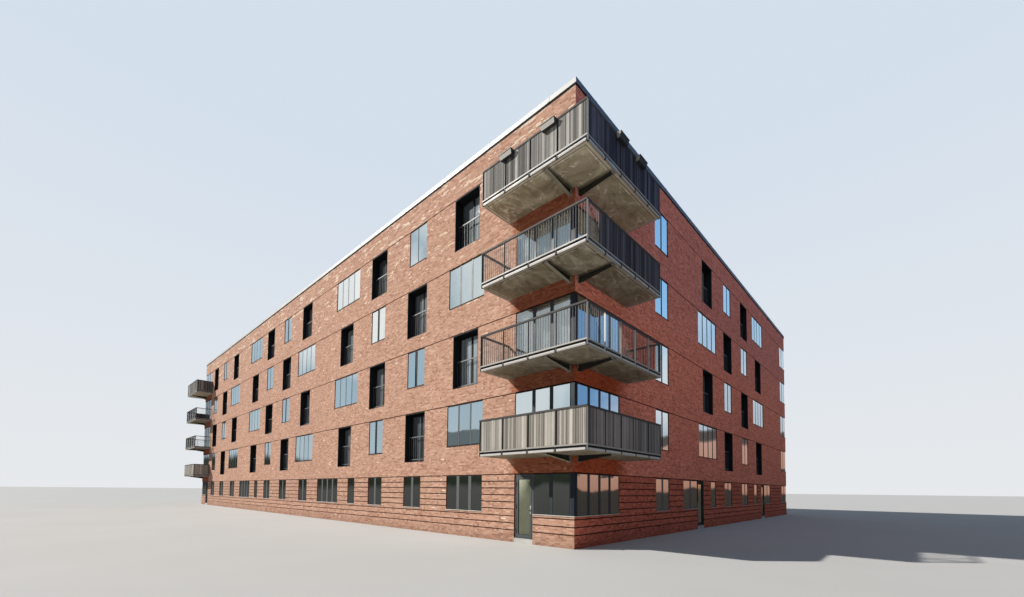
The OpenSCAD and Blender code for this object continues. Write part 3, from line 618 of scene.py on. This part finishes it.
def windows(face):
    """Each glazed opening as a dict, with the s values of its panes."""
    length = 2 * (HALF_LEN if face in LONG else HALF_DEP)
    found = []
    for lo, hi in islands(face + "_glass"):
        s0, s1, t, z0, z1 = local(face, lo, hi)
        width = round(s1 - s0, 3)
        near = s0 < length / 2
        if t < GLASS_T - 0.005:
            found.append(dict(kind="door", s=(s0, s1), z=(z0, z1), t=t, panes=[], bars=[], near=near,
                              storey=1))
            continue
        at_corner = s0 < POST_END + 0.01 or s1 > length - POST_END - 0.01
        kind = "french" if t > FRENCH_T else "corner" if at_corner else "plain"
        count = min(PANES.items(), key=lambda item: abs(item[0] - width))[1]
        bars = [s0 + (s1 - s0) * i / count for i in range(1, count)]
        if width == CORNER_FRONT_GLASS:
            bars = [(POST_END + CORNER_FRONT - DOOR_W) / 2, CORNER_FRONT - DOOR_W]
            bars = bars if near else sorted(length - b for b in bars)
        wide = CORNER_BAR_W if kind == "corner" else BAR_W
        edges = [s0 + FRAME_W - wide / 2, *bars, s1 - FRAME_W + wide / 2]
        panes = [(a + wide / 2, b - wide / 2) for a, b in zip(edges, edges[1:])]
        found.append(dict(kind=kind, s=(s0, s1), z=(z0, z1), t=t, panes=panes, bars=bars, near=near,
                          storey=int((z0 - BASE + 0.01) / STOREY) + 1))
    return found


WINDOWS = {face: windows(face) for face in FACES}

# Outer panes nearly flush with the brick, their black gaskets, and caps on the bars between them
CORNER_GAP, SIDE_GAP, CASEMENT_GAP, WIDE_GAP, NARROW_GAP = 0.08, 0.064, 0.046, 0.095, 0.034
SEAL_W, CAP_T = 0.004, 0.008
rng = random.Random(23)
for face in FACES:
    panes, gaskets, caps = (Pieces(face) for _ in range(3))
    for w in WINDOWS[face]:
        if w["kind"] in ("door", "french"):
            continue
        front, (z0, z1) = w["t"] - (GLASS_T - FRAME_T), w["z"]
        corner, many = w["kind"] == "corner", len(w["panes"]) > 2 and face in LONG
        gap, margin = (CORNER_GAP, 0.009) if corner else (SIDE_GAP, 0.017)
        if face in LONG and not corner:
            gap = CASEMENT_GAP if many else rng.choice((WIDE_GAP, WIDE_GAP, NARROW_GAP))
        if w["storey"] == 1 and not corner:
            gap = WIDE_GAP
        low, high = z0 + margin, z1 - margin
        edges = [w["s"][0] + margin - gap / 2, *w["bars"], w["s"][1] - margin + gap / 2]
        for a, b in zip(edges, edges[1:]):
            a, b = a + gap / 2, b - gap / 2
            panes.box(a, b, front - PANE_T, front, low + 0.007, high)
            gaskets.ring(a - SEAL_W, b + SEAL_W, low + 0.003, high + SEAL_W, SEAL_W, front - SEAL_W, front)
        if corner or many or w["storey"] == 1:
            half = gap / 2 - 0.005
            for bar in w["bars"]:
                caps.box(bar - half, bar + half, front - CAP_T, front, z0 + 0.012, z1 - 0.004)
    panes.make("outer_panes_" + face, "mirror_glass", slot="glass")
    gaskets.make("gaskets_" + face, "rubber", slot="frame_metal")
    caps.make("mullion_caps_" + face, "mullion_cap", bevel=0.002, slot="frame_metal")

# French doors: sashes with their panes, the bar where the leaves meet, and the wall plates of the railing
RAIL_HALF, RAIL_TOPS, RAIL_IN, RAIL_OUT = 0.383, (0.605, 0.075), 0.105, 0.143
PLATE_T, PLATE_H, SASH_W, SASH_LAP = 0.004, 0.042, 0.014, 0.004
for face in FACES:
    sashes, panes, plates = (Pieces(face) for _ in range(3))
    for w in WINDOWS[face]:
        if w["kind"] != "french":
            continue
        mid = sum(w["s"]) / 2
        z0, z1 = w["z"]
        low, high = z0 + FRAME_W, z1 - FRAME_W
        for a, b in w["panes"]:
            sashes.ring(a - SASH_LAP, b + SASH_LAP, low - SASH_LAP, high + SASH_LAP, SASH_W,
                        FRENCH_T - 0.004, FRENCH_T + 0.002, 0.002)
            panes.box(a, b, FRENCH_T + 0.004, FRENCH_T + 0.008, low, high)
        sashes.box(mid - 0.006, mid + 0.006, FRENCH_T - 0.012, FRENCH_T, z0 + 0.03, z1 - 0.03)
        for way in (-1, 1):
            end = mid + way * RAIL_HALF
            for z in RAIL_TOPS:
                plates.box(*sorted((end, end - way * PLATE_T)), RAIL_IN, RAIL_OUT, z0 + z - PLATE_H, z0 + z)
    sashes.make("french_sashes_" + face, "frame_metal", bevel=0.001)
    panes.make("french_panes_" + face, "french_glass", slot="glass")
    plates.make("french_rail_plates_" + face, "dark_rail", slot="rail_steel")


# Blinds behind the glass: upright slats, and roller blinds let down by different lengths
SLAT_PITCH, SLAT_T, BLIND_T, BLIND_BACK = 0.05, 0.0016, 0.002, 0.06


def slats(pieces, s0, s1, t, z0, z1, rng, turn=None):
    count = max(2, round((s1 - s0) / SLAT_PITCH))
    pitch = (s1 - s0) / count
    turn = rng.uniform(0.25, 0.7) if turn is None else turn
    for i in range(count):
        s = s0 + pitch * (i + 0.5)
        pieces.slat(s, t, pitch * 0.52, SLAT_T, turn + rng.uniform(-0.08, 0.08), z0, z1)
    pieces.box(s0, s1, t - 0.012, t + 0.012, z1 - 0.002, z1 + 0.008)


rng = random.Random(11)
for face in FACES:
    white, grey, rollers = (Pieces(face) for _ in range(3))
    for w in WINDOWS[face]:
        (s0, s1), (z0, z1), back = w["s"], w["z"], w["t"] + BLIND_BACK
        draw, part = rng.random(), (0.18 + 0.17 * rng.random()) * (s1 - s0)
        heights = z0 + 0.01, z1 - 0.03
        if w["kind"] == "corner" and w["near"] and w["storey"] in (3, 4) and face in ("front", "right"):
            end = s1 - (0.02 if face == "front" else 0.3)
            slats(white, s0 + 0.03, end, w["t"] + 0.04, z0 + 0.015, z1 - 0.03, rng, 0.15)
        elif w["kind"] == "door":
            slats(white, s0 + 0.01, s1 - 0.02, back, *heights, rng)
        elif w["kind"] == "french":
            if draw < 0.25:
                slats(grey, s0 + 0.02, s0 + part, back, *heights, rng)
        elif draw < 0.35:
            chosen = white if draw < 0.25 else grey
            slats(chosen, s0 + 0.01, s0 + part, back, *heights, rng)
            slats(chosen, s1 - part, s1 - 0.01, back, *heights, rng)
        elif draw < 0.6:
            drop = z1 - (z1 - z0) * (0.2 + 0.75 * rng.random())
            rollers.box(s0 + 0.02, s1 - 0.02, back, back + BLIND_T, drop, z1 - 0.01)
            rollers.box(s0 + 0.02, s1 - 0.02, back - 0.004, back + 0.006, drop - 0.012, drop)
    for pieces, name, paint in ((white, "slat_blinds_", "slats_white"),
                                (grey, "slat_blinds_grey_", "slats_grey"),
                                (rollers, "roller_blinds_", "blind")):
        if pieces.verts:
            pieces.make(name + face, paint, slot="screen_boards")

# Corner posts: dark covers on both outer sides of the posts in the glazed corners; on the street side of
# storey 2 the covers are pale, a painted highlight where the sun falls on them
COVER_T, LOW_SILL = 0.003, 0.44
covers, pale = Pieces(), Pieces()
for k in range(1, 6):
    foot = BASE + (k - 1) * STOREY
    z0, z1 = foot + 0.012 + (LOW_SILL if k == 1 else 0), foot + HEAD - 0.003
    y = -HALF_DEP + FRAME_T
    for sign in (1, -1):
        x, inner = sign * (HALF_LEN - FRAME_T), sign * (HALF_LEN - POST_END + 0.008)
        out = x + sign * COVER_T
        (pale if k == 2 else covers).box(*sorted((out, inner)), y - COVER_T, y, z0, z1)
        covers.box(*sorted((x, out)), y, -HALF_DEP + POST_END - 0.008, z0, z1)
covers.make("corner_post_covers", "post_cover", slot="frame_metal")
pale.make("corner_post_covers_pale", "post_cover_pale", slot="frame_metal")

# Coping: cover strips over the joints, and a dark drip strip under the lip, near black as painted shadow
# under the coping
STRIP_PITCH, STRIP_HALF, LIP, STRIP_T, DRIP_OUT, DRIP_H = 1.5, 0.02, 0.015, 0.003, 0.009, 0.035
strips, drip_shadow = Pieces(), Pieces()
top = WALL_TOP + COPING_T
for face in FACES:
    strips.face = drip_shadow.face = face
    half = HALF_LEN if face in LONG else HALF_DEP
    steps = int(half / STRIP_PITCH)
    for i in range(-steps, steps + 1):
        a, b = half + i * STRIP_PITCH - STRIP_HALF, half + i * STRIP_PITCH + STRIP_HALF
        strips.box(a, b, -LIP - STRIP_T, WALL + LIP + STRIP_T, top - 0.001, top + 0.004)
        strips.box(a, b, -LIP - STRIP_T, -LIP, WALL_TOP + 0.002, top + 0.004)
    past = DRIP_OUT if face in LONG else 0.0
    drip_shadow.box(-past, 2 * half + past, -DRIP_OUT, 0.0, WALL_TOP - DRIP_H, WALL_TOP)
strips.make("coping_joint_covers", "coping_metal", bevel=0.0015)
drip_shadow.make("coping_drip", "rubber", slot="coping_metal")

# Roof: felt dressed up the inner parapet, with a fillet at its foot
upstand = Pieces()


def roof_ring(inset, z):
    x, y = HALF_LEN - WALL - inset, HALF_DEP - WALL - inset
    return [(a * x, b * y, z) for a, b in SQUARE]


upstand.loops([roof_ring(inset, z) for inset, z in (
    (0, WALL_TOP - 0.03), (0.008, WALL_TOP - 0.035), (0.008, ROOF_Z + 0.06), (0.06, ROOF_Z + 0.008),
    (0.12, ROOF_Z + 0.008), (0.12, ROOF_Z), (0, ROOF_Z))])
upstand.make("roof_upstand", "roofing_felt")


class Stack(Pieces):
    """Pieces of a balcony stack, placed by railing run: a along it, d in from its outer face, z up.

    Runs: front, side, and the two ends that go back to the wall. x counts out from the corner along the
    street and y in from the street front, mirrored for the left stack.
    """

    RUNS = {"front": (-BAL_FRONT - RAIL_DEEP, BAL_FRONT + OUT_SIDE + 2 * RAIL_DEEP, 4),
            "side": (-OUT_FRONT + JOINT, OUT_FRONT + BAL_SIDE + RAIL_DEEP - JOINT, 5),
            "front_end": (-OUT_FRONT + JOINT, OUT_FRONT - JOINT, 1),
            "side_end": (0.0, OUT_SIDE - JOINT, 1)}

    def __init__(self, sign):
        super().__init__()
        self.sign, self.run = sign, None

    def at(self, a, d, z):
        x, y = {"front": (a, d - OUT_FRONT - RAIL_DEEP), "side": (OUT_SIDE + RAIL_DEEP - d, a),
                "front_end": (d - BAL_FRONT - RAIL_DEEP, a), "side_end": (a, BAL_SIDE + RAIL_DEEP - d)
                }.get(self.run, (a, d))
        return (self.sign * (HALF_LEN + x), y - HALF_DEP, z)

    def bays(self):
        """The clear bays between the posts of the chosen run."""
        start, length, count = self.RUNS[self.run]
        pitch = (length - POST_T) / count
        return [(start + i * pitch + POST_T, start + (i + 1) * pitch) for i in range(count)]


# Boards, rail covers, and the feet of the posts with their bolts
BOARD_WIDTHS, BOARD_T, FRONT_INSET = (0.014, 0.02, 0.03, 0.045, 0.06), 0.002, 0.026
RAIL_COVER, POST_GAP, FOOT_STEP, FOOT_HALF, FOOT_T = 0.002, 0.017, 0.011, 0.007, 0.003
BOLT_R, BOLT_HIGH, WALL_BOLT_R = 0.004, 0.004, 0.005


def board_bay(pieces, lo, hi, low, high, rng):
    """Upright boards of mixed widths, which cover the bars of one bay."""
    at = lo
    while at < hi - 0.010:
        wide = min(rng.choice(BOARD_WIDTHS), hi - at)
        front = RAIL_DEEP / 2 - BAR / 2 - 0.0035 + rng.uniform(0.0, 0.0012)
        pieces.box(at, at + wide - rng.choice((0.002, 0.002, 0.006)), front, front + BOARD_T, low, high)
        at += wide


rng = random.Random(4)
for side, sign in (("right", 1), ("left", -1)):
    boards, backs, fascia, low_rails, top_rails, lights, feet, bolts, plates = (Stack(sign) for _ in range(9))
    for k in range(2, 6):
        floor = BASE + (k - 1) * STOREY
        slab_top, slab_low = floor - SLAB_DROP, floor - SLAB_DROP - SLAB_T
        rail_low = floor + RAIL_H - TOP_RAIL
        low, high = floor + LOW_RAIL + LOW_RAIL_H + 0.001, rail_low - 0.001
        for run in Stack.RUNS:
            for pieces in (boards, backs, fascia, low_rails, top_rails, lights, feet, bolts):
                pieces.run = run
            start, length, _ = Stack.RUNS[run]
            end = start + length
            past, inset = (RAIL_COVER, FRONT_INSET) if run == "front" else (0.0, 0.0)
            ends = start - past, end + past
            # Covers along the bottom rail and the top rail, and the dark plate that closes the slab's edge
            low_rails.box(*ends, -RAIL_COVER, 0.0, floor + LOW_RAIL, floor + LOW_RAIL + LOW_RAIL_H)
            top_rails.box(*ends, -RAIL_COVER, 0.0, rail_low, floor + RAIL_H)
            top_rails.box(*ends, -RAIL_COVER, RAIL_DEEP + RAIL_COVER, floor + RAIL_H, floor + RAIL_H + 0.003)
            backs.box(start, end, 0.022, 0.026, slab_top, floor + LOW_RAIL + 0.002)
            for i, (a, b) in enumerate(fascia.bays()):
                lip = slab_low + (0.016 if k > 2 else 0.004)
                fascia.box(a + POST_GAP, b - POST_GAP, 0.001, RAIL_DEEP, lip, slab_top)
                low_rails.box(a + POST_GAP, b - POST_GAP, 0.004, RAIL_DEEP, slab_low, lip)
                clad = k in (2, 5) or (k == 4 and run == "side")
                if clad:
                    first = OUT_FRONT / 2 + start if k == 4 and i == 0 else a + 0.002
                    board_bay(boards, first + inset, b - 0.002, low, high, rng)
                    backs.box(first, b - 0.001, 0.0185, 0.0225, low, high)
                # Side-arm posts: painted shade (dark strips) in clad bays, painted sunlight (light strips) in
                # open bays
                if run == "side":
                    strips = backs if clad else lights
                    strips.box(a - POST_T - 0.0015, a - POST_T, 0.001, 0.029, slab_low, rail_low)
                # Foot plates that carry the posts on the slab's edge, each with a bolt
                for post in (a - POST_T, b):
                    for way in (-1, 1):
                        c = post + POST_T / 2 + way * FOOT_STEP
                        if start < c - 0.006 and c + 0.006 < end:
                            inner = RAIL_DEEP - FOOT_T
                            feet.box(c - FOOT_HALF, c + FOOT_HALF, inner, RAIL_DEEP, slab_low, slab_top)
                            bolts.disc(c, slab_low + SLAB_T / 2, inner - BOLT_HIGH, inner, BOLT_R, 6)
            # A light cover on the corner post's +X face is a painted reflection of the sky
            if run == "front":
                lights.box(end, end + 0.001, 0.002, RAIL_DEEP, slab_low, rail_low)
        # Brackets: a plate at the tip of each, and a plate with bolts on the wall
        for swap, reach in ((0, OUT_FRONT - 0.03), (1, OUT_SIDE - 0.03)):
            def turned(a, b, z):
                return (a, BRACKET_IN + b, z) if swap else (-BRACKET_IN - b, -a, z)
            for a, b, half, z0, z1 in ((reach, reach + 0.004, 0.034, slab_low - 0.022, slab_low),
                                       (0.0, 0.005, 0.042, slab_low - 0.112, slab_low - 0.002)):
                corners = [turned(p, q, z) for p in (a, b) for q in (-half, half) for z in (z0, z1)]
                plates.add(corners, BOX_FACES)
            bolts.run = None
            for b, z in ((-0.036, 0.02), (0.036, 0.02), (-0.036, 0.094), (0.036, 0.094)):
                bolts.loops([[turned(a, b + p, slab_low - z + q) for p, q in circle(WALL_BOLT_R, 6)]
                             for a in (0.004, 0.009)], closed=False)
    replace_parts(boards.make("screen_boards_" + side, "screen_boards", bevel=0.0006),
                "balcony_screens_" + side)
    backs.make("rail_backs_" + side, "dark_rail", slot="rail_steel")
    fascia.make("balcony_fascias_" + side, "fascia", bevel=0.0015, slot="coping_metal")
    low_rails.make("bottom_rail_covers_" + side, "bottom_rail", slot="rail_steel")
    top_rails.make("top_rail_covers_" + side, "top_rail", slot="rail_steel")
    lights.make("post_covers_" + side, "light_metal", slot="rail_steel")
    feet.make("post_feet_" + side, "dark_rail", slot="rail_steel")
    bolts.make("post_bolts_" + side, "galvanised", slot="rail_steel")
    plates.make("bracket_plates_" + side, "bottom_rail", slot="rail_steel")

# Planter boxes: tapered tubs with a rolled rim, hung on straps over the rail
tubs, hooks = Pieces(), Pieces()
for lo, hi in islands("planter_boxes"):
    along = 0 if hi[0] - lo[0] > hi[1] - lo[1] else 1
    (a0, a1), z0, z1 = (lo[along], hi[along]), lo[2], hi[2]
    inner, outer = (hi[1], lo[1]) if along == 0 else (lo[0], hi[0])

    def tub(a, out, z):
        """Point at a along the rail, out as a share of the tub's depth."""
        b = inner + (outer - inner) * out
        return (a, b, z) if along == 0 else (b, a, z)

    def loop(inset, back, out, z):
        ends = a0 + inset, a1 - inset
        return [tub(a, back, z) for a in ends] + [tub(a, out, z) for a in reversed(ends)]
    rim = [loop(inset, back, out, z1 - down) for inset, back, out, down in (
        (0.004, 0.0, 0.90, 0.018), (0.0, 0.0, 0.95, 0.015), (0.0, 0.0, 1.0, 0.012), (0.0, 0.0, 1.0, 0.002),
        (0.003, 0.02, 0.98, 0.0), (0.009, 0.06, 0.93, 0.002), (0.012, 0.10, 0.90, 0.015))]
    tubs.loops([loop(0.012, 0.0, 0.65, z0), *rim], closed=False)
    for a in (a0 + 0.05, a1 - 0.05):
        for out0, out1, low in ((-0.42, 0.08, 0.008), (-0.42, -0.38, -0.03), (0.02, 0.06, -0.03)):
            p, q = tub(a - 0.008, out0, z1 + low), tub(a + 0.008, out1, z1 + 0.011)
            hooks.box(*sorted((p[0], q[0])), *sorted((p[1], q[1])), p[2], q[2])
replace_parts(tubs.make("planter_tubs", "planter_plastic", bevel=0.0015), "planter_boxes")
hooks.make("planter_hooks", "galvanised", slot="rail_steel")


# Terrace doors: handle plates, lock cylinders and gaskets ride on their leaves
def door_trim(name, face, hinge, free):
    way = 1 if free > hinge else -1
    edge = free - way * (DOOR_FRAME_W + 0.008)
    s, z = edge - way * LEAF_W / 2, BASE + 0.52
    trim = Pieces(face)
    trim.loops([[(s + x * wide, FRAME_T - d, z + up * tall) for x, up in SQUARE] for wide, tall, d in
                ((0.012, 0.07, 0.0), (0.012, 0.07, 0.002), (0.010, 0.068, 0.003))], closed=False)
    trim.disc(s, z - 0.045, FRAME_T - 0.007, FRAME_T - 0.002, 0.006)
    trim.disc(s, z, FRAME_T - 0.010, FRAME_T - 0.002, 0.009, 16)
    trim.make(name + "_trim", "galvanised", body="body_" + name, slot="frame_metal")
    seal = Pieces(face)
    a, b = sorted((hinge + way * (DOOR_FRAME_W + 0.005 + LEAF_W), edge - way * LEAF_W))
    seal.ring(a, b, BASE + 0.025 + LEAF_W, BASE + HEAD - DOOR_FRAME_W - 0.005 - LEAF_W, 0.006,
              FRAME_T + 0.004, FRAME_T + 0.012, 0.002)
    seal.make(name + "_gasket", "rubber", body="body_" + name, slot="frame_metal")


door_trim("corner_door", "front", CORNER_FRONT, CORNER_FRONT - DOOR_W)
for name, hinge, way in (("side_door_a", 5.94, -1), ("side_door_b", 11.94, 1)):
    door_trim(name, "right", hinge, hinge + way * DOOR_W)

for name in ("coping", "stone_sills", "door_thresholds"):
    soften(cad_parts[name], 0.003)

# Studio floor, key light, and a world that gives the fill light and what the glass mirrors
FLOOR_HALF = 400
ground = bpy.data.meshes.new("studio_floor")
ground.from_pydata([(x * FLOOR_HALF, y * FLOOR_HALF, -0.001) for x, y in SQUARE], [], [(0, 1, 2, 3)])
pale = Shader("studio_floor", rough=0.9)
ground.materials.append(pale.done(pale.ramp(pale.noise(0.4, 4.0), (0.3, (0.49, 0.49, 0.48)),
                                            (0.7, (0.52, 0.52, 0.51)))))
floor_obj = put_in("studio_floor", ground)
floor_obj.visible_glossy = False

sun = put_in("key", bpy.data.lights.new("key", "SUN"))
sun.data.energy, sun.data.angle, sun.data.color = 5.2, math.radians(1.0), (1.0, 0.955, 0.89)
sun.rotation_mode = "QUATERNION"
sun.rotation_quaternion = Vector((1.07, 1.0, -0.98)).to_track_quat("-Z", "Y")

world = bpy.data.worlds.new("studio")
bpy.context.scene.world = world
world.use_nodes = True
world.node_tree.nodes.clear()
sky = Nodes(world.node_tree, "Generated")
x, y, z = sky.split(sky.pos)
tops = sky.remap(sky.noise(9.0, 3.0, sky.join(x, y, 0.0)), 0.3, 0.7, -0.016, 0.016)
up = sky.over(sky.add(sky.add(z, 0.1), tops), 0.8)
# What the street side mirrors: ground, trees and sky
street = sky.ramp(up, (0.0, (0.07, 0.067, 0.06)), (0.12, (0.09, 0.087, 0.08)), (0.135, (0.025, 0.03, 0.02)),
                  (0.19, (0.035, 0.04, 0.03)), (0.205, (0.52, 0.60, 0.65)), (0.42, (0.42, 0.55, 0.64)),
                  (0.62, (0.46, 0.56, 0.61)), (1.0, (0.34, 0.48, 0.62)))
dark = sky.both(sky.less(y, -0.52), sky.inside(up, 0.2, 0.285))
street = sky.mix(dark, street, (0.15, 0.18, 0.19))
# What the side mirrors: ground, a brick facade with its windows and roof edge, and sky
yard = sky.ramp(up, (0.0, (0.04, 0.036, 0.032)), (0.125, (0.05, 0.042, 0.036)), (0.13, (0.46, 0.235, 0.165)),
                (0.25, (0.56, 0.33, 0.26)), (0.255, (0.10, 0.085, 0.08)), (0.28, (0.10, 0.085, 0.08)),
                (0.285, (0.52, 0.57, 0.64)), (0.44, (0.50, 0.62, 0.73)), (0.60, (0.33, 0.60, 0.92)),
                (1.0, (0.15, 0.38, 0.82)))
panes = sky.both(sky.inside(sky.fract(sky.both(y, 26.0)), 0.25, 0.6), sky.inside(up, 0.165, 0.19))
yard = sky.mix(panes, yard, (0.07, 0.06, 0.06))
yard = sky.mix(sky.both(sky.remap(x, 0.42, 0.50), sky.remap(up, 0.22, 0.3)), yard, (0.17, 0.33, 0.58))
to_yard = sky.remap(x, -0.04, 0.04)
mirrored = sky.mix(to_yard, street, yard)
# Clouds, and two banks of them where the photograph's windows mirror white
cover = sky.both(sky.remap(sky.noise(3.2, 6.0, rough=0.55, distortion=0.4), 0.50, 0.66),
                 sky.remap(up, 0.29, 0.36), sky.remap(x, -0.04, 0.04, 0.8, 0.55))
for towards, share in (((-0.82, -0.40, 0.41), 1.0), ((-0.62, -0.76, 0.21), 0.6)):
    bank = sky.node("VectorMath", sky.pos, towards, operation="DOT_PRODUCT").outputs["Value"]
    cover = sky.most(cover, sky.both(sky.remap(sky.add(bank, tops), 0.986, 0.997), share))
mirrored = sky.mix(cover, mirrored, (0.98, 0.98, 0.96))


def background(colour, strength=1.0):
    return sky.node("Background", colour, strength).outputs[0]


def choose(factor, a, b):
    return sky.node("MixShader", factor, a, b).outputs[0]


rays = sky.node("LightPath").outputs
backdrop = background(sky.ramp(z, (0.0, (0.80, 0.82, 0.84)), (0.6, (0.66, 0.74, 0.84))))
lit = choose(rays["Is Glossy Ray"], background((0.72, 0.84, 1.0, 1), 0.24), background(mirrored))
sky.node("OutputWorld", choose(rays["Is Camera Ray"], lit, backdrop))
